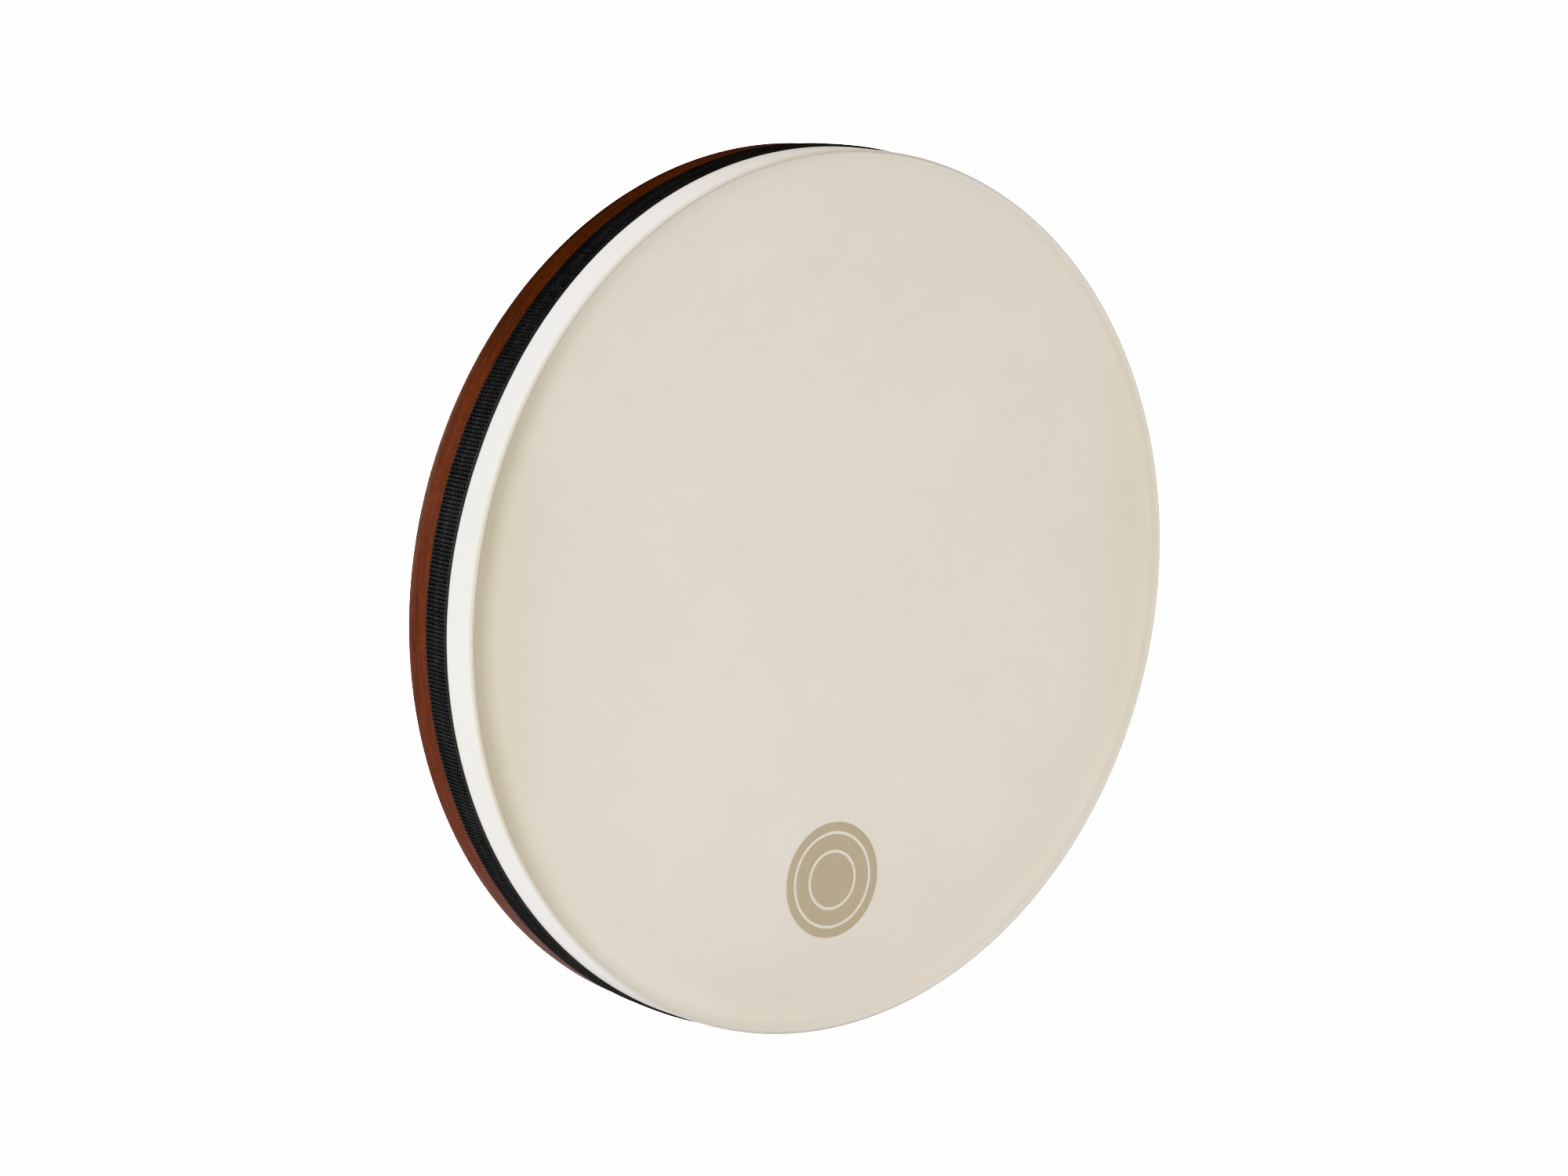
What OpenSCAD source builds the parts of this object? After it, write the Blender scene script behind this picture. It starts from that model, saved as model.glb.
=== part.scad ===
// Frame drum, held upright by its rim: a shallow ring of bent wood plies with one
// formed film head glued round its front edge and a woven tape over the film's end.
//
// Everything is first built with the drum's axis along z, the head towards +z and
// the printed mark towards -y. upright() then stands it on its rim: the head faces
// -Y, +Z is up, and the origin is the lowest point of the rim at mid-depth.

/* [Shell] */
// Outside diameter of the wooden shell
drum_d = 508; // [360:1:560]
// Length of the wooden shell along the drum's axis
shell_depth = 60; // [50:1:90]
// Thickness of the outer ply
outer_ply_t = 2.4; // [2:0.1:3]
// Thickness of the core ply
core_ply_t = 2.9; // [2.4:0.1:4]
// Thickness of the inner ply
inner_ply_t = 2.4; // [2:0.1:3]
// Thickness of the glue line between two plies
glue_t = 0.15; // [0.1:0.05:0.2]
// Radius of the rounded bearing edge that carries the head
edge_r = 1; // [0.8:0.1:3]
// Radius of the two corners at the open rear edge
rear_r = 0.5; // [0.3:0.1:2]

/* [Ply seams] */
// Angle of the outer ply's scarf joint round the axis, in degrees
outer_seam_at = -34; // [-180:1:180]
// Angle of the core ply's scarf joint
core_seam_at = 84; // [-180:1:180]
// Angle of the inner ply's scarf joint
inner_seam_at = -154; // [-180:1:180]
// Angle between a scarf cut and the ply's face
scarf_tilt = 8; // [6:0.5:12]

/* [Head] */
// Thickness of the film
head_t = 0.3; // [0.25:0.05:0.4]
// Thickness of each layer of adhesive
adhesive_t = 0.1; // [0.05:0.05:0.15]
// Length of the film down the side, from the crest to its free end under the tape
film_reach = 32; // [28:1:36]
// How steeply the film leaves the crest towards the membrane, in degrees
crest_tilt = 30; // [15:1:35]
// Distance over which the film's slope dies out inside the crest
dip_run = 2.2; // [1.5:0.1:6]

/* [Tape] */
// Width of the woven tape
tape_w = 19; // [16:0.5:22]
// Thickness of the woven tape
tape_t = 1.2; // [0.8:0.1:1.5]
// Distance from the crest back to the tape's front edge
tape_setback = 23.5; // [18:0.1:25]
// Angle where the tape starts and where its other end laps over
tape_seam_at = -52; // [-80:1:-20]
// Length of the lap
tape_lap = 12; // [6:1:20]

/* [Printed mark] */
// Diameter of the printed disc
mark_d = 68; // [40:1:90]
// Distance from the head's centre down to the disc's centre
mark_drop = 166; // [100:1:170]
// Thickness of the ink
mark_t = 0.08; // [0.05:0.01:0.1]

/* [Hidden] */
$fn = 240;

// Radii of the shell's layers, from outside in
shell_r = drum_d / 2;
outer_in_r = shell_r - outer_ply_t;
core_out_r = outer_in_r - glue_t;
core_in_r = core_out_r - core_ply_t;
inner_out_r = core_in_r - glue_t;
bore_r = inner_out_r - inner_ply_t;

// Places along the axis: the crest of the film and the rear edge are equally far
// from z = 0
front_stack = adhesive_t + head_t;
crest_z = (shell_depth + front_stack) / 2;
rear_z = -crest_z;
wood_z = crest_z - front_stack;
film_end_z = crest_z - film_reach;

// The bearing edge is an arc about this point
edge_c = [shell_r - edge_r, wood_z - edge_r];
bevel_a = 45;
bevel_from = edge_c + edge_r * [-sin(bevel_a), cos(bevel_a)];
bevel_end_z = bevel_from[1] - (bevel_from[0] - bore_r) * tan(bevel_a);

// The layers round the bearing edge, as radii about edge_c
film_in = edge_r + adhesive_t;
film_out = film_in + head_t;
arc_step = 5;

// The dip inside the crest falls as an exponential to the flat membrane
dip = dip_run * tan(crest_tilt);
dip_steps = 14;
dip_end = 7 * dip_run;
dip_crowding = 1.7;
dip_from = edge_c + film_out * [-sin(crest_tilt), cos(crest_tilt)];
membrane_z = dip_from[1] - dip;

// The tape steps down from the film to the bare wood
tape_front_z = crest_z - tape_setback;
tape_rear_z = tape_front_z - tape_w;
film_face_r = shell_r + front_stack;
tape_bed_film_r = film_face_r + adhesive_t;
tape_bed_wood_r = shell_r + adhesive_t;
tape_out_r = tape_bed_film_r + tape_t;
tape_step_run = 2;
tape_corner = 0.3;

// The tape's lap
lap_gap = 0.05;
lap_rise = tape_t + lap_gap;
lap_ramp = 3;
lap_deg = tape_lap / tape_out_r * 180 / PI;
ramp_deg = lap_ramp / tape_out_r * 180 / PI;

// The scarf cuts reach this far past a ply's faces
scarf_reach = 0.6;

// The rings left open in the printed disc
ring_spots = [0.84, 0.52] * mark_d;
ring_w = mark_d / 40;

// A point on a circle, and an arc of such points about a centre. Every arc is
// stepped alike, so the faces of two layers that touch stay parallel.
function polar(r, a) = r * [cos(a), sin(a)];
function arc(c, r, a0, a1) =
    let (n = ceil(abs(a1 - a0) / arc_step))
        [for (i = [0:n]) c + polar(r, a0 + (a1 - a0) * i / n)];

// Depth and slope of the film's top face at a distance inside the crest's arc
function dip_point(s) = [dip_from[0] - s, membrane_z + dip * exp(-s / dip_run)];
function dip_slope(s) = atan(dip / dip_run * exp(-s / dip_run));

// The dip's face at a depth below the film's top, from the crest inwards
function dip_face(depth) = [
    for (i = [0:dip_steps])
        let (s = dip_end * pow(i / dip_steps, dip_crowding), a = dip_slope(s))
            dip_point(s) - depth * [-sin(a), cos(a)]
];

function reversed(points) = [for (i = [len(points) - 1:-1:0]) points[i]];

// Stands the drum on its rim, head towards -Y
module upright() {
    translate([0, 0, tape_out_r])
        rotate([90, 0, 0])
            children();
}

// Section of the whole wooden wall: rounded bearing edge with an inner bevel, and
// two rounded corners at the rear
module wall_section() {
    polygon(concat(
        arc(edge_c, edge_r, 0, 90 + bevel_a),
        [[bore_r, bevel_end_z]],
        arc([bore_r + rear_r, rear_z + rear_r], rear_r, 180, 270),
        arc([shell_r - rear_r, rear_z + rear_r], rear_r, 270, 360)
    ));
}

// One layer of the wall, between two radii
module layer(in_r, out_r) {
    rotate_extrude()
        intersection() {
            wall_section();
            translate([in_r, rear_z])
                square([out_r - in_r, shell_depth]);
        }
}

// The thin slanted slot where the two ends of one ply meet
module scarf_slot(in_r, out_r, at) {
    span = (out_r - in_r + 2 * scarf_reach) / sin(scarf_tilt);
    rotate(at)
        translate([(in_r + out_r) / 2, 0, 0])
            rotate(90 - scarf_tilt)
                cube([span, glue_t, 2 * shell_depth], center = true);
}

// A ply is one strip bent into a ring, open at its scarf joint
module ply(in_r, out_r, at) {
    difference() {
        layer(in_r, out_r);
        scarf_slot(in_r, out_r, at);
    }
}

// The glue that fills one scarf joint
module scarf_fill(in_r, out_r, at) {
    intersection() {
        layer(in_r, out_r);
        scarf_slot(in_r, out_r, at);
    }
}

// Section of a sleeve of tape or adhesive that steps down where the film ends
module stepped_section(film_r, wood_r, t, corner) {
    front = tape_front_z;
    rear = tape_rear_z;
    run = tape_step_run;
    polygon([
        [film_r, film_end_z],
        [film_r, front],
        [film_r + t - corner, front],
        [film_r + t, front - corner],
        [film_r + t, film_end_z],
        [wood_r + t, film_end_z - run],
        [wood_r + t, rear + corner],
        [wood_r + t - corner, rear],
        [wood_r, rear],
        [wood_r, film_end_z],
    ]);
}

module outer_ply() {
    color("#6c341d")
        upright()
            ply(outer_in_r, shell_r, outer_seam_at);
}

module core_ply() {
    color("#a9743f")
        upright()
            ply(core_in_r, core_out_r, core_seam_at);
}

module inner_ply() {
    color("#7b4426")
        upright()
            ply(bore_r, inner_out_r, inner_seam_at);
}

module outer_glue_line() {
    color("#3b2413")
        upright()
            layer(core_out_r, outer_in_r);
}

module inner_glue_line() {
    color("#3b2413")
        upright()
            layer(inner_out_r, core_in_r);
}

module scarf_glue() {
    color("#4a2c18")
        upright() {
            scarf_fill(outer_in_r, shell_r, outer_seam_at);
            scarf_fill(core_in_r, core_out_r, core_seam_at);
            scarf_fill(bore_r, inner_out_r, inner_seam_at);
        }
}

// Adhesive from the film's end up the side and over the crest
module head_adhesive() {
    color("#e9dfc2")
        upright()
            rotate_extrude()
                polygon(concat(
                    [[shell_r, film_end_z], [shell_r + adhesive_t, film_end_z]],
                    arc(edge_c, film_in, 0, 90),
                    arc(edge_c, edge_r, 90, 0)
                ));
}

// The film: a collar down the side, the crest, the dip and the flat membrane
module drum_head() {
    color("#ded6ca")
        upright()
            rotate_extrude()
                polygon(concat(
                    [[0, membrane_z - head_t], [0, membrane_z]],
                    reversed(dip_face(0)),
                    reversed(arc(edge_c, film_out, 0, 90 + crest_tilt)),
                    [[film_face_r, film_end_z], [film_face_r - head_t, film_end_z]],
                    arc(edge_c, film_in, 0, 90 + crest_tilt),
                    dip_face(head_t)
                ));
}

// A plain printed disc with rings left open, as one layer of ink
module head_print() {
    color("#b8aa8f")
        upright()
            translate([0, -mark_drop, membrane_z])
                linear_extrude(mark_t)
                    difference() {
                        circle(d = mark_d);
                        for (d = ring_spots)
                            difference() {
                                circle(d = d);
                                circle(d = d - 2 * ring_w);
                            }
                    }
}

module tape_adhesive() {
    color("#2b2622")
        upright()
            rotate_extrude()
                stepped_section(film_face_r, shell_r, adhesive_t, 0);
}

// The tape goes once round, climbs a short ramp and laps over its own start
module binding_tape() {
    color("#1a1a1c")
        upright()
            rotate(tape_seam_at) {
                rotate_extrude(angle = 360 - ramp_deg)
                    stepped_section(tape_bed_film_r, tape_bed_wood_r, tape_t, tape_corner);
                translate([0, 0, tape_rear_z])
                    linear_extrude(tape_w)
                        polygon([
                            polar(tape_bed_film_r, -ramp_deg),
                            polar(tape_out_r, -ramp_deg),
                            polar(tape_out_r + lap_rise, 0),
                            polar(tape_bed_film_r + lap_rise, 0),
                        ]);
                rotate_extrude(angle = lap_deg)
                    translate([tape_out_r + lap_gap, tape_rear_z])
                        square([tape_t, tape_w]);
            }
}

outer_ply();
core_ply();
inner_ply();
outer_glue_line();
inner_glue_line();
scarf_glue();
head_adhesive();
drum_head();
head_print();
tape_adhesive();
binding_tape();
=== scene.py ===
"""A frame drum held upright by its rim: the looks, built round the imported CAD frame.

Every piece is swept round the drum's axis. A point has an angle round the axis, from +X
towards +Z, a radius, and a place a along the axis, which grows towards the head (-Y).
"""

import math

import bmesh
import bpy
import numpy as np
from mathutils import Matrix, Vector, noise


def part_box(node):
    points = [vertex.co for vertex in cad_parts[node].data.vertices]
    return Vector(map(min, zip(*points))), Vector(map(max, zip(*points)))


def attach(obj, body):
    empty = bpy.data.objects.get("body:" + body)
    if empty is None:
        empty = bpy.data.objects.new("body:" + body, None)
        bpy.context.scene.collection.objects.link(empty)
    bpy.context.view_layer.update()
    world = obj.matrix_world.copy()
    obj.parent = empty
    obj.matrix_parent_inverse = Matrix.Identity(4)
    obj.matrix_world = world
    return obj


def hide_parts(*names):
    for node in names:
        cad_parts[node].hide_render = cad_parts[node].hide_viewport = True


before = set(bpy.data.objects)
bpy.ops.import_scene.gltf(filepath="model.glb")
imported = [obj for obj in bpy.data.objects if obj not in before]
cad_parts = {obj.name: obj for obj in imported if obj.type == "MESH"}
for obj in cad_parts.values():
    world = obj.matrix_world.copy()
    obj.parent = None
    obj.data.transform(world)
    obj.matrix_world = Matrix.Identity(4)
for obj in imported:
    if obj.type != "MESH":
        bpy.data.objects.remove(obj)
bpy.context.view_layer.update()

MM = 0.001
BODY = "root"


# ---------------------------------------------------------------- sizes from the frame

def outer_radius(node):
    """Every round node reaches its full radius on the +X side."""
    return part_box(node)[1].x


def front_end(node):
    return -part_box(node)[0].y


def rear_end(node):
    return -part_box(node)[1].y


SHELL_R = outer_radius("outer_ply")
OUTER_IN_R = outer_radius("outer_glue_line")
CORE_OUT_R = outer_radius("core_ply")
CORE_IN_R = outer_radius("inner_glue_line")
INNER_OUT_R = outer_radius("inner_ply")
GLUE_T = OUTER_IN_R - CORE_OUT_R
# The inner ply is as thick as the outer one
BORE_R = INNER_OUT_R - (SHELL_R - OUTER_IN_R)
FILM_IN_R = outer_radius("head_adhesive")
FILM_OUT_R = outer_radius("drum_head")
FILM_T = FILM_OUT_R - FILM_IN_R
TAPE_IN_R = outer_radius("tape_adhesive")
TAPE_OUT_R = outer_radius("binding_tape")
TAPE_T = TAPE_OUT_R - TAPE_IN_R

CREST = front_end("drum_head")
FILM_END = rear_end("drum_head")
WOOD_FRONT = front_end("outer_ply")
REAR = rear_end("outer_ply")
MEMBRANE = rear_end("head_print")
TAPE_FRONT = front_end("binding_tape")
TAPE_REAR = rear_end("binding_tape")
TAPE_W = TAPE_FRONT - TAPE_REAR

# The drum stands on its tape, so its axis is as high as the tape's radius
AXIS_Z = TAPE_OUT_R

# The bearing edge is an arc that turns into a bevel on the inner side
EDGE_ROUND = 1.0 * MM
EDGE_R = SHELL_R - EDGE_ROUND
EDGE_A = WOOD_FRONT - EDGE_ROUND
BEVEL = math.radians(45)
BEVEL_R = EDGE_R - EDGE_ROUND * math.sin(BEVEL)
BEVEL_A = EDGE_A + EDGE_ROUND * math.cos(BEVEL)
REAR_ROUND = 0.5 * MM

# The film's top face goes round the bearing edge at this radius, and leaves the crest at a
# slope that dies out towards the flat membrane
FILM_ROUND = FILM_OUT_R - EDGE_R
CREST_TILT = 30.0
DIP_RUN = 2.2 * MM
DIP_REACH = 7 * DIP_RUN

# Angles of the plies' scarf joints and of the tape's lap, and the scarf cuts' slope
OUTER_SEAM, CORE_SEAM, INNER_SEAM = -34.0, 84.0, -154.0
SCARF_TILT = math.radians(8)
TAPE_SEAM = -52.0
TAPE_LAP = 12.0 * MM
# Behind the film's end, the tape comes down to the bare wood over this distance
TAPE_STEP = 2.0 * MM

# Angles where a stretch of the wood or the tape starts to darken, is dark, starts to fade
# and ends. On the tape this darkening is painted shade
DARKER_WOOD = (10, 75, 112, 168)
SHADED_TAPE_STRETCH = (72, 92, 124, 170)

ROUND_STEPS = 600


# ---------------------------------------------------------------- meshes

def link(name, mesh):
    obj = bpy.data.objects.new(name, mesh)
    bpy.context.scene.collection.objects.link(obj)
    return obj


def arc(r, a, radius, start, end, steps):
    """Points (radius, a) on an arc, between two angles in degrees."""
    t = np.radians(np.linspace(start, end, steps + 1))
    return np.stack([r + radius * np.cos(t), a + radius * np.sin(t)], axis=1)


def line(start, end, steps):
    """Points on a straight stretch, with both ends left out."""
    t = np.linspace(0, 1, steps + 1)[1:-1, None]
    return np.array(start) * (1 - t) + np.array(end) * t


def smooth(share):
    """0 below 0, 1 above 1, and an S-shaped rise between."""
    share = np.clip(share, 0, 1)
    return share ** 2 * (3 - 2 * share)


def grid_faces(index, close_rows, close_columns):
    """The four corners of every face of a grid of point numbers."""
    if close_rows:
        index = np.vstack([index, index[:1]])
    if close_columns:
        index = np.hstack([index, index[:, :1]])
    corners = [index[:-1, :-1], index[1:, :-1], index[1:, 1:], index[:-1, 1:]]
    return np.stack(corners, axis=-1).reshape(-1, 4).tolist()


def sweep(name, angle, r, a, ring=True, poles=False, strip=None, sharp=35):
    """A closed solid from a grid whose rows go round the drum and whose columns go round
    a section. A ring closes on itself, and anything else ends in two flat caps. With
    poles the section starts and ends on the axis. strip is each point's place in the
    flat strip that the piece was made from. An edge sharper than sharp degrees isn't
    smoothed."""
    angle, r, a = np.broadcast_arrays(angle, r, a)
    points = np.stack([r * np.cos(angle), -a, AXIS_Z + r * np.sin(angle)], axis=-1)
    rows, columns = angle.shape
    index = np.arange(rows * columns).reshape(rows, columns)
    faces = grid_faces(index, ring, not poles)
    points = points.reshape(-1, 3).tolist()
    if not ring:
        faces += [index[0].tolist(), index[-1][::-1].tolist()]
    if poles:
        for column, turn in ((0, 1), (-1, -1)):
            rim = index[:, column]
            middle = len(points)
            points.append([0.0, -a[0, column], AXIS_Z])
            pairs = np.stack([rim, np.roll(rim, -1)], axis=1)[:, ::turn]
            faces += [[middle, *pair] for pair in pairs.tolist()]
    mesh = bpy.data.meshes.new(name)
    mesh.from_pydata(points, [], faces)
    outward(mesh)
    if strip is not None:
        places = np.stack(np.broadcast_arrays(*strip, angle)[:3], axis=-1)
        attribute = mesh.attributes.new("strip", "FLOAT_VECTOR", "POINT")
        attribute.data.foreach_set("vector", places.astype(np.float32).ravel())
    mesh.shade_smooth()
    mesh.set_sharp_from_angle(angle=math.radians(sharp))
    return link(name, mesh)


def outward(mesh):
    """Turns the faces outwards."""
    solid = bmesh.new()
    solid.from_mesh(mesh)
    if solid.calc_volume(signed=True) < 0:
        bmesh.ops.reverse_faces(solid, faces=solid.faces)
    solid.to_mesh(mesh)
    solid.free()


def round_angles(steps=ROUND_STEPS):
    """Angles once round the axis, one to a row."""
    return np.linspace(0, 2 * math.pi, steps, endpoint=False)[:, None]


@np.vectorize
def soft_noise(x, y):
    """A smooth noise, whose bumps are about 1 apart."""
    return noise.noise(Vector((x, y, 0)))


def finish_piece(obj, material, node):
    """Gives a piece its material and its body, and hides the CAD node that it replaces."""
    obj.data.materials.append(material)
    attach(obj, BODY)
    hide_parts(node)


# ---------------------------------------------------------------- shaders

class Nodes:
    """Writes the nodes of a material or a world. A method that adds some returns the
    output of the last."""

    def __init__(self, owner):
        owner.use_nodes = True
        self.nodes, self.links = owner.node_tree.nodes, owner.node_tree.links

    def fill(self, node, inputs):
        """Sets a node's inputs, or links them where the value is another node's output."""
        for key, value in inputs.items():
            if isinstance(value, bpy.types.NodeSocket):
                self.links.new(value, node.inputs[key])
            else:
                node.inputs[key].default_value = value

    def add(self, kind, inputs, output=0, **settings):
        node = self.nodes.new("ShaderNode" + kind)
        for key, value in settings.items():
            setattr(node, key, value)
        self.fill(node, inputs)
        return node.outputs[output]

    def strip(self, *lengths, shift=0.0):
        """The place in the flat strip, counted in these lengths (mm along, across, deep)."""
        place = self.add("Attribute", {}, output="Vector", attribute_name="strip")
        return self.scaled(place, lengths, shift)

    def place(self, *lengths):
        """The place in the drum, counted in these lengths (mm along X, Y, Z)."""
        return self.scaled(self.add("TexCoord", {}, output="Object"), lengths)

    def scaled(self, place, lengths, shift=0.0):
        per_length = [1 / (length * MM) for length in lengths]
        counted = self.add("VectorMath", {0: place, 1: per_length}, operation="MULTIPLY")
        return self.add("VectorMath", {0: counted, 1: (shift,) * 3}, operation="ADD")

    def part(self, vector, axis):
        return self.add("SeparateXYZ", {0: vector}, output=axis)

    def math(self, operation, first, second=0.0):
        return self.add("Math", {0: first, 1: second}, operation=operation)

    def product(self, first, *others):
        for other in others:
            first = self.math("MULTIPLY", first, other)
        return first

    def weighted(self, *terms, base=0.0):
        """A base plus the sum of these values times their weights."""
        for value, weight in terms:
            base = self.add("Math", {0: value, 1: weight, 2: base}, operation="MULTIPLY_ADD")
        return base

    def noise(self, vector, detail=3.0, roughness=0.55, distortion=0.0):
        inputs = {"Vector": vector, "Scale": 1.0, "Detail": detail,
                  "Roughness": roughness, "Distortion": distortion}
        return self.add("TexNoise", inputs)

    def between(self, value, low, high, to_low=0.0, to_high=1.0):
        """value's stretch from low to high, laid smoothly over another stretch."""
        inputs = {"Value": value, "From Min": low, "From Max": high,
                  "To Min": to_low, "To Max": to_high}
        return self.add("MapRange", inputs, interpolation_type="SMOOTHSTEP")

    def stretch(self, begins, full, fades, ends, amount):
        """This amount on one stretch of the strip, and 0 elsewhere. The places are in mm."""
        along = self.part(self.strip(1, 1, 1), "X")
        return self.math("SUBTRACT", self.between(along, begins, full, 0.0, amount),
                         self.between(along, fades, ends, 0.0, amount))

    def ramp(self, value, *stops):
        """A colour for each value, from stops of (value, red, green, blue)."""
        output = self.add("ValToRGB", {"Fac": value})
        elements = output.node.color_ramp.elements
        while len(elements) < len(stops):
            elements.new(0.5)
        for element, (position, *colour) in zip(elements, stops):
            element.position = position
            element.color = (*colour, 1.0)
        return output

    def mix(self, share, first, second, blend="MIX"):
        """Two colours mixed. On a Mix node, inputs 6 and 7 and output 2 are the colours."""
        inputs = {0: share, 6: first, 7: second}
        return self.add("Mix", inputs, output=2, data_type="RGBA", blend_type=blend)

    def tint(self, share, colour, red, green, blue):
        """The colour, multiplied by another one where the share is 1."""
        return self.mix(share, colour, (red, green, blue, 1.0), blend="MULTIPLY")

    def bump(self, height, depth, normal=None):
        """A relief of this depth in mm, where height goes from 0 to 1."""
        inputs = {"Height": height, "Strength": 1.0, "Distance": depth * MM}
        if normal is not None:
            inputs["Normal"] = normal
        return self.add("Bump", inputs, output="Normal")


class Shader(Nodes):
    """Writes one material, from its surface."""

    def __init__(self, name):
        self.material = bpy.data.materials.new(name)
        super().__init__(self.material)
        self.surface = self.nodes["Principled BSDF"]
        self.end = self.nodes["Material Output"]

    def principled(self, **inputs):
        """Sockets of the surface, with spaces in their names written as underscores."""
        self.fill(self.surface, {k.replace("_", " "): v for k, v in inputs.items()})


def wood(name, dark, middle, light, coat, shift, darker=None):
    """Stained wood whose grain runs along the strip, with fine pores and a satin coat. It can
    have a darker stretch."""
    s = Shader(name)
    bands = s.noise(s.strip(210, 13, 5, shift=shift), detail=2.0, distortion=0.4)
    streaks = s.noise(s.strip(24, 0.7, 0.7, shift=shift), detail=5.0, roughness=0.7)
    pores = s.noise(s.strip(3.2, 0.16, 0.16, shift=shift), detail=1.5, roughness=0.4)
    open_pore = s.between(pores, 0.60, 0.70)
    flecks = s.noise(s.strip(3.5, 0.8, 0.8, shift=shift), detail=2.0)
    tone = s.weighted((bands, 0.30), (streaks, 0.62), (flecks, 0.34), base=-0.13)
    if darker is not None:
        tone = s.math("SUBTRACT", tone, s.stretch(*darker, 0.17))
    stain = s.ramp(tone, (0.30, *dark), (0.50, *middle), (0.72, *light))
    pore_colour = [0.35 * c for c in dark]
    colour = s.mix(s.math("MULTIPLY", open_pore, 0.75), stain, (*pore_colour, 1.0))
    relief = s.weighted((streaks, 0.35), (open_pore, -1.0))
    gloss = s.between(streaks, 0.35, 0.7, 0.50, 0.40)
    s.principled(Base_Color=colour, Roughness=gloss, Specular_IOR_Level=0.15,
                 Coat_Weight=coat, Coat_Roughness=0.28, Normal=s.bump(relief, 0.05))
    return s.material


def glue(name, colour):
    """Dried wood glue, amber and slightly uneven."""
    s = Shader(name)
    beads = s.noise(s.place(2.5, 2.5, 2.5), detail=3.0)
    dark = [0.6 * c for c in colour]
    s.principled(Base_Color=s.ramp(beads, (0.35, *dark), (0.65, *colour)),
                 Roughness=s.between(beads, 0.3, 0.7, 0.35, 0.55), Normal=s.bump(beads, 0.05))
    return s.material


def film():
    """Thin cream film. It is yellower towards its two sides. Painted shade darkens it where
    it turns over the edge and just inside the edge on the left, and near the edge on the
    right, and painted brightening lightens the membrane near its edge.
    The membrane lets light through. The collar is glued to the shell, so it doesn't, and it
    is glossier."""
    s = Shader("film")
    from_axis = s.add("VectorMath", {0: s.add("TexCoord", {}, output="Object"),
                                     1: (0, 0, -AXIS_Z)}, operation="ADD")
    from_axis = s.add("VectorMath", {0: from_axis, 1: (1, 0, 1)}, operation="MULTIPLY")
    out = s.add("VectorMath", {0: from_axis}, output="Value", operation="LENGTH")
    across, height = s.part(from_axis, "X"), s.part(from_axis, "Z")
    behind_crest = s.math("ADD", s.part(s.place(1, 1, 1), "Y"), CREST / MM)
    membrane = s.between(out, EDGE_R - 1.5 * MM, EDGE_R + 0.5 * MM, 1.0, 0.0)
    near_edge = (0.90 * EDGE_R, 0.98 * EDGE_R)

    clouds = s.noise(s.place(60, 60, 60), detail=3.0, roughness=0.5)
    flecks = s.noise(s.place(0.9, 0.9, 0.9), detail=3.0, roughness=0.7)
    mottle = s.weighted((clouds, 0.45), (flecks, 0.55))
    cream = s.ramp(mottle, (0.36, 0.895, 0.848, 0.762), (0.64, 0.915, 0.872, 0.790))
    # Painted brightening near the edge, making up for the back light that the wall keeps off
    # the membrane
    cream = s.tint(s.between(out, *near_edge), cream, 1.065, 1.042, 0.99)
    deep = s.ramp(mottle, (0.36, 0.793, 0.737, 0.652), (0.64, 0.813, 0.761, 0.682))
    colour = s.mix(membrane, deep, cream)

    # Painted shade: darker inside the left edge, where the crest's shadow falls, and where
    # the film turns over the edge, less at the right
    inner = s.product(s.between(out, EDGE_R - 18 * MM, EDGE_R - 4 * MM),
                      s.between(across, -EDGE_R, -0.6 * EDGE_R, 0.62, 0.0))
    outer = s.product(s.between(out, EDGE_R - 1 * MM, EDGE_R + 0.5 * MM),
                      s.between(across, 0.1 * EDGE_R, 0.7 * EDGE_R, 1.0, 0.0),
                      s.between(height, 0.2 * EDGE_R, 0.9 * EDGE_R, 0.4, 0.75))
    turn = s.product(s.math("ADD", inner, outer), s.between(behind_crest, 1.1, 3.6, 1.0, 0.0))
    # The painted shade's tint
    colour = s.tint(turn, colour, 0.75, 0.71, 0.61)
    # Painted shade on the inner slope of the edge at the right side, which faces left
    right = s.product(s.between(out, EDGE_R - 7 * MM, EDGE_R - 1 * MM),
                      s.between(across, 0.0, 0.9 * EDGE_R), membrane)
    colour = s.tint(right, colour, 0.90, 0.875, 0.85)
    # Yellower towards both sides
    sides = s.between(s.math("ABSOLUTE", across), 0.75 * EDGE_R, 0.95 * EDGE_R)
    colour = s.tint(sides, colour, 0.985, 0.975, 0.93)

    grain = s.noise(s.place(0.45, 0.45, 0.45), detail=2.0)
    relief = s.bump(grain, 0.012, s.bump(clouds, 0.02))
    s.principled(Base_Color=colour, Roughness=s.between(membrane, 0, 1, 0.40, 0.60),
                 Specular_IOR_Level=0.35, Normal=relief)
    through = s.add("BsdfTranslucent", {"Color": colour, "Normal": relief})
    share = s.product(membrane, s.between(out, *near_edge, 0.30, 0.14))
    both = s.add("MixShader", {0: share, 1: s.surface.outputs[0], 2: through})
    s.fill(s.end, {"Surface": both})
    return s.material


def adhesive(name, colour, roughness):
    """A thin smear of adhesive."""
    s = Shader(name)
    smear = s.noise(s.place(6, 1.5, 6), detail=3.0)
    dark = [0.8 * c for c in colour]
    s.principled(Base_Color=s.ramp(smear, (0.35, *dark), (0.65, *colour)),
                 Roughness=s.between(smear, 0.3, 0.7, roughness, roughness + 0.15),
                 Normal=s.bump(smear, 0.02))
    return s.material


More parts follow.
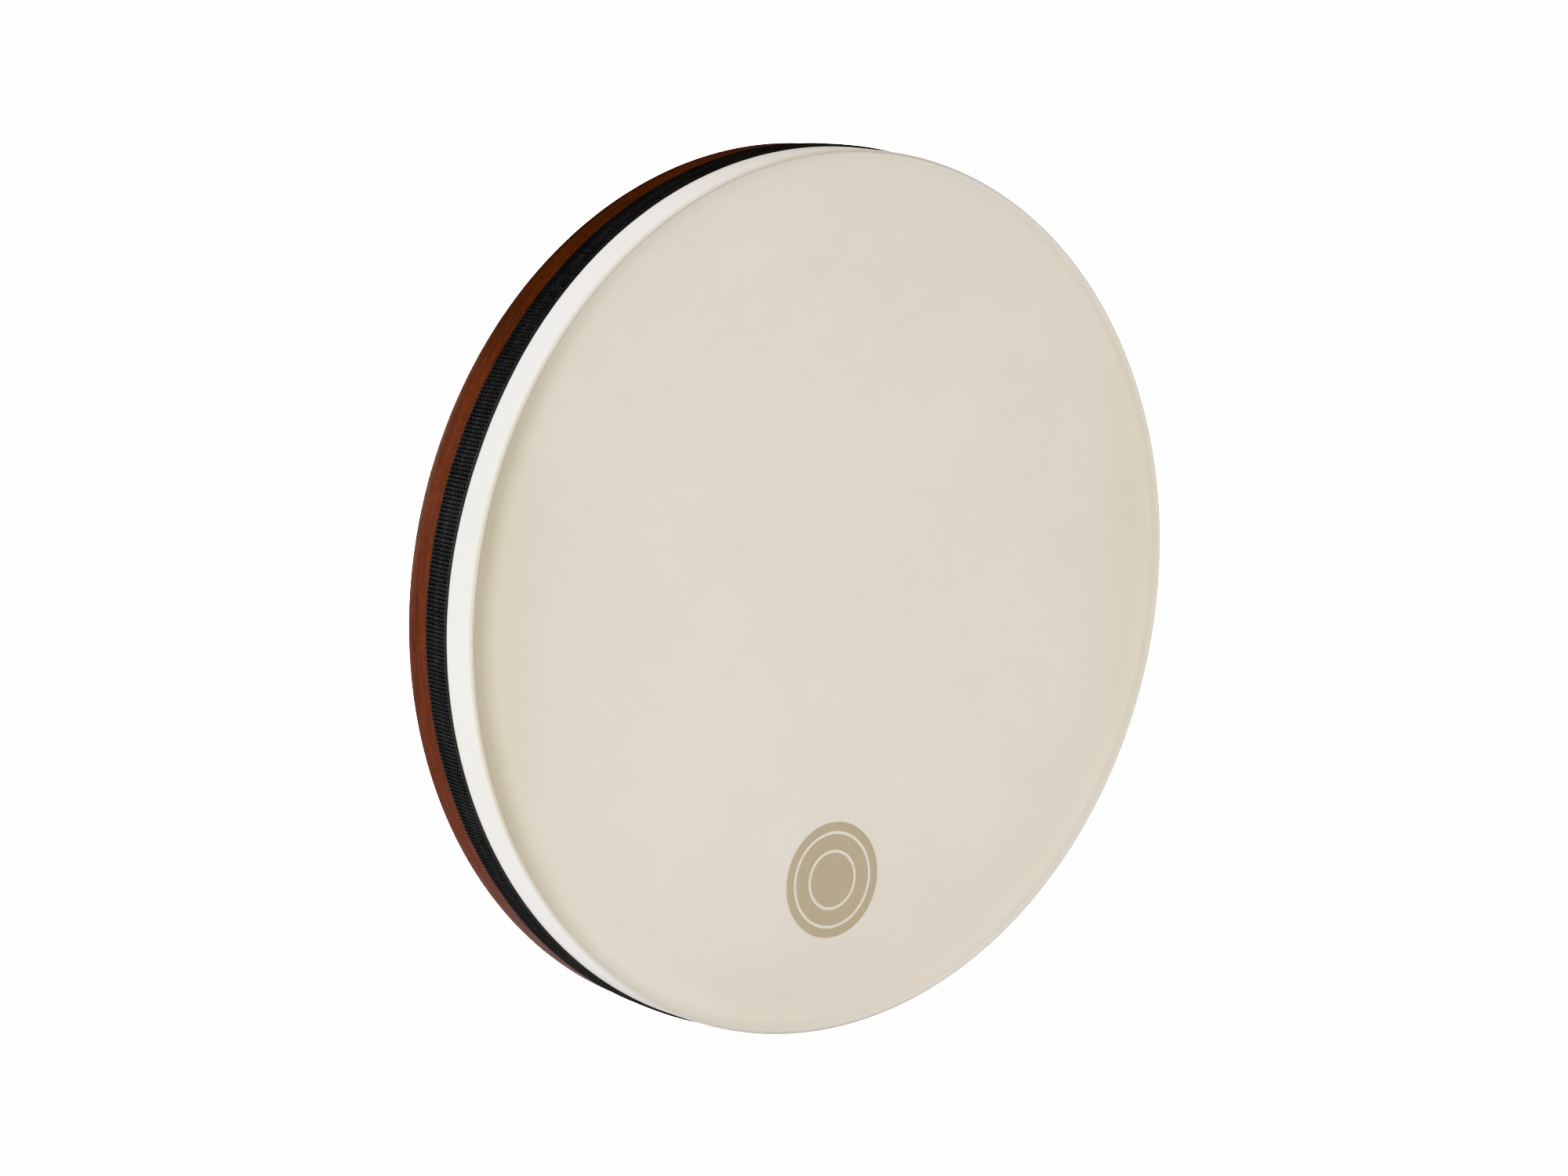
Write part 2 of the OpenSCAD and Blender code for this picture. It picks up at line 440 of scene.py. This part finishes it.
def ink():
    """A flat beige ink, a little thinner here and there."""
    s = Shader("ink")
    cover = s.noise(s.place(1.1, 1.1, 1.1), detail=4.0, roughness=0.65)
    wear = s.noise(s.place(12, 12, 12), detail=2.0)
    tone = s.weighted((cover, 0.6), (wear, 0.4))
    colour = s.ramp(tone, (0.34, 0.560, 0.466, 0.312), (0.64, 0.592, 0.496, 0.340))
    s.principled(Base_Color=colour, Roughness=s.between(cover, 0.3, 0.7, 0.5, 0.62),
                 Specular_IOR_Level=0.3, Normal=s.bump(cover, 0.008))
    return s.material


def woven(shaded_stretch):
    """Black webbing: fine yarns along the strip. Its colour holds painted shade in the
    hollows between the ribs and painted highlight on their tops, partly wear. Painted shade
    darkens one stretch."""
    s = Shader("woven")
    yarn = s.noise(s.strip(1.6, 0.17, 0.3), detail=2.0, roughness=0.5)
    waves = {"Vector": s.strip(2.37, 0.72, 1.0), "Scale": 1.0, "Distortion": 1.2,
             "Detail": 1.0}
    strands = s.add("TexWave", waves, wave_type="BANDS", bands_direction="Y")
    patches = s.noise(s.strip(24, 9, 9), detail=3.0)
    # Painted shade in the hollows between the ribs and painted highlight on their tops,
    # partly wear
    rib_top_light_and_wear = s.between(s.part(s.strip(1, 1, 1), "Z"), 0.86, 1.2)
    tone = s.weighted((rib_top_light_and_wear, 0.7), (patches, 0.3))
    # Painted shade over one stretch of the tape, round its upper left
    tone = s.math("SUBTRACT", tone, s.stretch(*shaded_stretch, 0.34))
    colour = s.ramp(tone, (0.10, 0.0010, 0.0009, 0.0007), (0.90, 0.0800, 0.0745, 0.0660))
    relief = s.bump(yarn, 0.05, s.bump(strands, 0.10))
    s.principled(Base_Color=colour, Roughness=s.between(yarn, 0.3, 0.7, 0.55, 0.75),
                 Specular_IOR_Level=0.13, Sheen_Weight=0.01, Sheen_Roughness=0.4,
                 Normal=relief)
    return s.material


# ---------------------------------------------------------------- the shell

def wood_front(r):
    """How far forward the wood reaches at radius r: along the edge's arc or its bevel."""
    rise = np.sqrt(np.maximum(EDGE_ROUND ** 2 - (r - EDGE_R) ** 2, 0))
    return np.where(r > BEVEL_R, EDGE_A + rise, BEVEL_A - (BEVEL_R - r))


def wood_rear(r):
    """How far back the wood reaches at radius r, with a rounded corner at each face."""
    past = np.maximum(r - (SHELL_R - REAR_ROUND), 0) + np.maximum(BORE_R + REAR_ROUND - r, 0)
    return REAR + REAR_ROUND - np.sqrt(np.maximum(REAR_ROUND ** 2 - past ** 2, 0))


def layer_section(in_r, out_r, recess=0.0, edge_steps=10, side_steps=12):
    """Section of the wall between two radii. The points crowd towards its corners."""
    share = 0.5 - 0.5 * np.cos(np.linspace(0, math.pi, edge_steps + 1))
    r = in_r + (out_r - in_r) * share
    front = np.stack([r, wood_front(r) - recess], axis=1)
    rear = np.stack([r, wood_rear(r) + recess], axis=1)[::-1]
    outer_side = line(front[-1], rear[0], side_steps)
    inner_side = line(rear[-1], front[0], side_steps)
    return np.concatenate([front, outer_side, rear, inner_side])


def scarf_angle(r, mid_r, side):
    """Angle from a scarf joint's middle to one side (-1 or 1) of its glue, at radius r."""
    off = side * GLUE_T / 2
    reach = mid_r * math.sin(SCARF_TILT)
    gap = mid_r ** 2 + off ** 2 - 2 * mid_r * off * math.cos(SCARF_TILT) - r ** 2
    along = np.sqrt(reach ** 2 - gap) - reach
    x = mid_r - off * math.cos(SCARF_TILT) + along * math.sin(SCARF_TILT)
    y = off * math.sin(SCARF_TILT) + along * math.cos(SCARF_TILT)
    return np.arctan2(y, x)


def ply(name, in_r, out_r, seam, material):
    """One strip bent into a ring, with its two ends cut to the scarf joint's slope."""
    r, a = layer_section(in_r, out_r).T
    mid_r = (in_r + out_r) / 2
    start = math.radians(seam) + scarf_angle(r, mid_r, 1)
    end = math.radians(seam + 360) + scarf_angle(r, mid_r, -1)
    share = np.linspace(0, 1, ROUND_STEPS + 1)[:, None]
    angle = start * (1 - share) + end * share
    places = (mid_r * (angle - math.radians(seam)), a, r - in_r)
    obj = sweep(name, angle, r, a, ring=False, strip=places)
    finish_piece(obj, material, name)


def glue_line(name, in_r, out_r, material):
    """The glue between two plies, a hair below the edges of the wood."""
    r, a = layer_section(in_r, out_r, recess=0.08 * MM, edge_steps=2).T
    finish_piece(sweep(name, round_angles(), r, a), material, name)


def scarf_fill(name, in_r, out_r, seam):
    """The glue in one scarf joint: a slanted sliver between the strip's two ends."""
    r, a = layer_section(in_r, out_r, recess=0.03 * MM).T
    mid_r = (in_r + out_r) / 2
    ends = [math.radians(seam) + scarf_angle(r, mid_r, side) for side in (-1, 1)]
    share = np.linspace(0, 1, 5)[:, None]
    return sweep(name, ends[0] * (1 - share) + ends[1] * share, r, a, ring=False)


def join(name, objects):
    """One object with the meshes of several."""
    whole = bmesh.new()
    for obj in objects:
        whole.from_mesh(obj.data)
    mesh = bpy.data.meshes.new(name)
    whole.to_mesh(mesh)
    whole.free()
    for obj in objects:
        bpy.data.objects.remove(obj)
    return link(name, mesh)


def along_strip(radius, seam, angles):
    """How far along a strip, in mm from its start at the seam, these angles are."""
    return [radius * math.radians(angle - seam) / MM for angle in angles]


def shell():
    """Three plies, the glue lines between them and the glue in their scarf joints."""
    darker = along_strip(SHELL_R, OUTER_SEAM, DARKER_WOOD)
    stained = wood("stained_wood", (0.022, 0.0052, 0.0007), (0.113, 0.0182, 0.0017),
                   (0.195, 0.0340, 0.0038), coat=0.05, shift=0.0, darker=darker)
    core = wood("core_wood", (0.130, 0.052, 0.020), (0.230, 0.105, 0.044),
                (0.330, 0.170, 0.078), coat=0.05, shift=37.0)
    inside = wood("inner_wood", (0.060, 0.014, 0.0045), (0.110, 0.027, 0.0085),
                  (0.170, 0.048, 0.016), coat=0.12, shift=71.0)
    ply("outer_ply", OUTER_IN_R, SHELL_R, OUTER_SEAM, stained)
    ply("core_ply", CORE_IN_R, CORE_OUT_R, CORE_SEAM, core)
    ply("inner_ply", BORE_R, INNER_OUT_R, INNER_SEAM, inside)
    amber = glue("wood_glue", (0.085, 0.040, 0.016))
    glue_line("outer_glue_line", CORE_OUT_R, OUTER_IN_R, amber)
    glue_line("inner_glue_line", INNER_OUT_R, CORE_IN_R, amber)
    slivers = [
        scarf_fill("outer_scarf", OUTER_IN_R, SHELL_R, OUTER_SEAM),
        scarf_fill("core_scarf", CORE_IN_R, CORE_OUT_R, CORE_SEAM),
        scarf_fill("inner_scarf", BORE_R, INNER_OUT_R, INNER_SEAM),
    ]
    finish_piece(join("scarf_glue", slivers), amber, "scarf_glue")


# ---------------------------------------------------------------- the head

def dip(depth, steps=20, crowding=1.7):
    """The film's face at a depth below its top, from the crest in to the flat membrane."""
    tilt = math.radians(CREST_TILT)
    fall = DIP_RUN * math.tan(tilt)
    from_r = EDGE_R - FILM_ROUND * math.sin(tilt)
    inward = DIP_REACH * np.linspace(0, 1, steps + 1) ** crowding
    height = MEMBRANE + fall * np.exp(-inward / DIP_RUN)
    slope = np.arctan(fall / DIP_RUN * np.exp(-inward / DIP_RUN))
    return np.stack([from_r - inward + depth * np.sin(slope),
                     height - depth * np.cos(slope)], axis=1)


def film_face(depth):
    """One face of the film, from near the axis out over the crest and down the collar."""
    membrane_r = np.linspace(0, 1, 8)[1:-1, None] * (EDGE_R - DIP_REACH)
    membrane = np.hstack([membrane_r, np.full_like(membrane_r, MEMBRANE - depth)])
    crest = arc(EDGE_R, EDGE_A, FILM_ROUND - depth, 90 + CREST_TILT, 0, 24)
    collar_end = (FILM_OUT_R - depth, FILM_END)
    collar = line(crest[-1], collar_end, 9)
    return np.concatenate([membrane, dip(depth)[::-1], crest[1:], collar, [collar_end]])


def drum_head(material):
    """The whole film, from its two faces."""
    section = np.concatenate([film_face(0), film_face(FILM_T)[::-1]])
    r, a = section.T
    obj = sweep("drum_head", round_angles(), r, a, poles=True)
    finish_piece(obj, material, "drum_head")


def head_print(material):
    """A plain printed disc with two rings left open, as three flat bands of ink."""
    low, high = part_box("head_print")
    disc_r = (high.x - low.x) / 2
    disc_z = (low.z + high.z) / 2
    back, front = -high.y + 0.005 * MM, -low.y
    open_w = disc_r / 20
    bands, out_r = [], disc_r
    for open_r in (0.84 * disc_r, 0.52 * disc_r):
        bands.append((open_r, out_r))
        out_r = open_r - open_w
    bands.append((0.0, out_r))
    pieces = [ink_band(f"ink_{n}", *band, back, front) for n, band in enumerate(bands)]
    obj = join("head_print", pieces)
    obj.data.transform(Matrix.Translation((0, 0, disc_z - AXIS_Z)))
    finish_piece(obj, material, "head_print")


def ink_band(name, in_r, out_r, back, front):
    """One band of ink with slightly rounded edges. A ring of points a little further in
    keeps its face flat."""
    soft = 0.06 * MM
    flat_from = 5 * soft
    steps = 180
    outer = [(out_r - flat_from, front), (out_r - soft, front), (out_r, (front + back) / 2),
             (out_r, back)]
    if in_r == 0:
        r, a = np.array([(out_r * 0.5, front), *outer, (out_r * 0.5, back)]).T
        return sweep(name, round_angles(steps), r, a, poles=True)
    inner = [(in_r, back), (in_r, (front + back) / 2), (in_r + soft, front),
             (in_r + flat_from, front)]
    r, a = np.array(outer + inner).T
    return sweep(name, round_angles(steps), r, a)


# ---------------------------------------------------------------- the tape

# Each rib runs across the tape. Its height is given at some shares of the way to the next
RIB_PITCH = 2.37 * MM
RIB_PHASES = np.array([0.0, 0.27, 0.5, 0.73])
RIB_HEIGHTS = np.array([0.0, 1.0, 0.63, 0.86])
RIB_DEPTH = 0.66 * MM
# A rib is woven as a row of floats, and the next row's lie half a float over
FLOATS = 6
FLOAT_COLUMNS = 4
SELVEDGE = 0.95 * MM


def tape_bed(a):
    """Radius under the tape: it steps down from the film to the bare wood."""
    return TAPE_IN_R - (FILM_OUT_R - SHELL_R) * smooth((FILM_END - a) / TAPE_STEP)


def lap_lift(along, length):
    """How far the tape's end rises to lie on its start."""
    ramp = 3 * MM
    gap = 0.05 * MM
    return (TAPE_T + gap) * smooth((along - (length - TAPE_LAP) + ramp) / ramp)


def bow(along, middle, reach):
    """1 at an angle round the axis, falling to 0 some degrees away from it."""
    degrees = TAPE_SEAM + np.degrees(along / TAPE_OUT_R)
    return np.exp(-((degrees - middle) / reach) ** 2)


def wander(along, across):
    """How far the hand-laid tape strays forwards from its line. Its front edge strays
    most on the upper left, where the tape is pulled wide."""
    slow = soft_noise(along / (90 * MM), 3.1)
    quick = soft_noise(along / (14 * MM), 7.7)
    pulled = 1.3 * bow(along, 148, 22) + 1.2 * bow(along, 158, 13) * (1 - across / TAPE_W)
    return (0.15 * slow + 0.07 * quick + pulled) * MM


def tape_section():
    """Across the tape from its front edge, round to its underside: place across, height,
    and how much the ribs show there."""
    edge_in = 0.28 * MM
    rim_in = np.array([edge_in, 0.0, 0.0, edge_in, 0.62 * SELVEDGE])
    rim_height = [0.0, 0.25, 0.70, 0.93, 0.95]
    rim_ribbed = [0.0, 0.0, 0.0, 0.0, 0.25]
    body = np.linspace(SELVEDGE, TAPE_W - SELVEDGE, FLOATS * FLOAT_COLUMNS + 1)
    body_ribbed = np.ones_like(body)
    body_ribbed[[0, -1]] = 0.6
    across = [*rim_in, *body, *(TAPE_W - rim_in[::-1]), TAPE_W / 2]
    height = [*rim_height, *np.ones_like(body), *rim_height[::-1], 0.0]
    ribbed = [*rim_ribbed, *body_ribbed, *rim_ribbed[::-1], 0.0]
    return np.array(across), np.array(height) * TAPE_T, np.array(ribbed)


def binding_tape(material):
    """Webbing with raised ribs, laid once round the drum with a lap."""
    length = 2 * math.pi * TAPE_OUT_R + TAPE_LAP
    ribs = round(length / RIB_PITCH)
    across, height, ribbed = tape_section()
    starts = np.arange(ribs)[:, None]
    rib = np.append((starts + RIB_PHASES).ravel(), ribs)[:, None]
    rib_shape = np.append(np.tile(RIB_HEIGHTS, ribs), RIB_HEIGHTS[0])[:, None]
    along = rib * (length / ribs)
    float_w = (TAPE_W - 2 * SELVEDGE) / FLOATS
    float_count = (across - SELVEDGE) / float_w + 0.5 * (np.floor(rib) % 2)
    float_shape = np.sqrt(np.abs(np.sin(math.pi * float_count)))
    rise = rib_shape * (0.76 + 0.24 * float_shape)
    top = height - ribbed * RIB_DEPTH * (1 - rise)
    sway = 0.12 * MM * soft_noise(along / (11 * MM), across / (5 * MM))
    a = TAPE_FRONT - across + wander(along, across)
    r = tape_bed(a) + top + lap_lift(along, length)
    swayed = along + sway * ribbed
    angle = math.radians(TAPE_SEAM) + swayed / TAPE_OUT_R
    # The strip's third number is how high a point stands, which the tape's colour turns into
    # painted shade and highlight. The plain rim counts as high
    shown_height = np.maximum(top, (1 - ribbed) * 0.9 * TAPE_T)
    places = (swayed, across, shown_height)
    obj = sweep("binding_tape", angle, r, a, ring=False, strip=places, sharp=80)
    finish_piece(obj, material, "binding_tape")


def tape_adhesive(material):
    """The adhesive under the tape, a little narrower than it and a hair clear of it."""
    edge_in = 0.45 * MM
    clear = 0.01 * MM
    front, rear = TAPE_FRONT - edge_in, TAPE_REAR + edge_in
    step_end = FILM_END - TAPE_STEP
    on_film = np.linspace(front, FILM_END, 5)[:-1]
    on_step = np.linspace(FILM_END, step_end, 5)
    on_wood = np.linspace(step_end, rear, 5)[1:]
    a = np.concatenate([on_film, on_step, on_wood])
    under = np.where(a > FILM_END, FILM_OUT_R, SHELL_R) + clear
    top = tape_bed(a) - clear
    section_r = np.concatenate([top, under[::-1]])
    section_a = np.concatenate([a, a[::-1]])
    obj = sweep("tape_adhesive", round_angles(), section_r, section_a)
    finish_piece(obj, material, "tape_adhesive")


# ---------------------------------------------------------------- camera, light and floor

def camera():
    """In front of the drum's left side and a little above its middle."""
    azimuth, elevation, roll = -39.2, 10.0, 0.5
    turn = (Matrix.Rotation(math.radians(azimuth), 3, "Z")
            @ Matrix.Rotation(math.radians(90 - elevation), 3, "X")
            @ Matrix.Rotation(math.radians(roll), 3, "Z"))
    # From the middle of the head, to the camera's right, up and back, in drum radii
    right, up, back = -0.1181, 0.0193, 10.535
    data = bpy.data.cameras.new("camera")
    data.lens = 108
    data.sensor_width = 36
    data.clip_end = 200
    obj = link("camera", data)
    head_middle = Vector((0, -CREST, AXIS_Z))
    offset = turn @ Vector((right, up, back)) * FILM_OUT_R
    obj.matrix_world = Matrix.Translation(head_middle + offset) @ turn.to_4x4()
    bpy.context.scene.camera = obj


def softbox(name, towards, distance, width, height, power, colour=(1, 1, 1)):
    """A soft light that faces the drum's middle from a direction."""
    data = bpy.data.lights.new(name, "AREA")
    data.shape = "RECTANGLE"
    data.size, data.size_y = width, height
    data.energy = power
    data.color = colour
    obj = link(name, data)
    direction = Vector(towards).normalized()
    obj.location = Vector((0, 0, AXIS_Z)) + direction * distance
    obj.rotation_euler = direction.to_track_quat("Z", "Y").to_euler()


def surroundings():
    """A pale room that is dark above and behind the drum. The camera sees plain white."""
    world = bpy.data.worlds.new("room")
    s = Nodes(world)
    dark = Vector((0.25, 0.60, 0.76)).normalized()
    pale_level, dark_level, seen_level = 0.74, 0.04, 6.0
    inputs = {0: s.add("TexCoord", {}, output="Generated"), 1: dark}
    towards_dark = s.add("VectorMath", inputs, output="Value", operation="DOT_PRODUCT")
    level = s.between(towards_dark, 0.55, 0.85, pale_level, dark_level)
    seen = s.add("LightPath", {}, output="Is Camera Ray")
    # On a Mix node, inputs 2 and 3 are the numbers
    level = s.add("Mix", {0: seen, 2: level, 3: seen_level})
    s.fill(s.nodes["Background"], {"Strength": level, "Color": (1, 1, 1, 1)})
    bpy.context.scene.world = world


def floor():
    """A plain pale floor that runs out to the horizon. The camera sees it brighter."""
    reach = 60
    mesh = bpy.data.meshes.new("floor")
    corners = [(-reach, -reach, 0), (reach, -reach, 0), (reach, reach, 0), (-reach, reach, 0)]
    mesh.from_pydata(corners, [], [(0, 1, 2, 3)])
    obj = link("floor", mesh)
    s = Shader("floor")
    seen = s.add("LightPath", {}, output="Is Camera Ray")
    grain = s.noise(s.place(400, 400, 400), detail=2.0)
    s.principled(Base_Color=s.ramp(grain, (0.3, 0.74, 0.74, 0.74), (0.7, 0.76, 0.76, 0.76)),
                 Roughness=0.9, Specular_IOR_Level=0.1, Emission_Color=(1, 1, 1, 1),
                 Emission_Strength=s.between(seen, 0, 1, 0.15, 4.0))
    mesh.materials.append(s.material)


camera()
shell()
drum_head(film())
head_print(ink())
cad_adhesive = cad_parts["head_adhesive"]
cad_adhesive.data.materials.clear()
cad_adhesive.data.materials.append(adhesive("film_adhesive", (0.80, 0.74, 0.62), 0.4))
tape_adhesive(adhesive("tape_glue", (0.030, 0.026, 0.022), 0.5))
binding_tape(woven(along_strip(TAPE_OUT_R, TAPE_SEAM, SHADED_TAPE_STRETCH)))
surroundings()
floor()
softbox("left", (-1.0, -0.14, 0.12), 3.0, 0.42, 2.2, 66, (0.86, 0.97, 1.20))
softbox("top", (0.10, 0.15, 0.98), 3.0, 1.2, 1.2, 38)
softbox("behind", (0.0, 1.0, 0.05), 3.0, 1.0, 1.0, 95)
bpy.context.scene.view_settings.view_transform = "Khronos PBR Neutral"
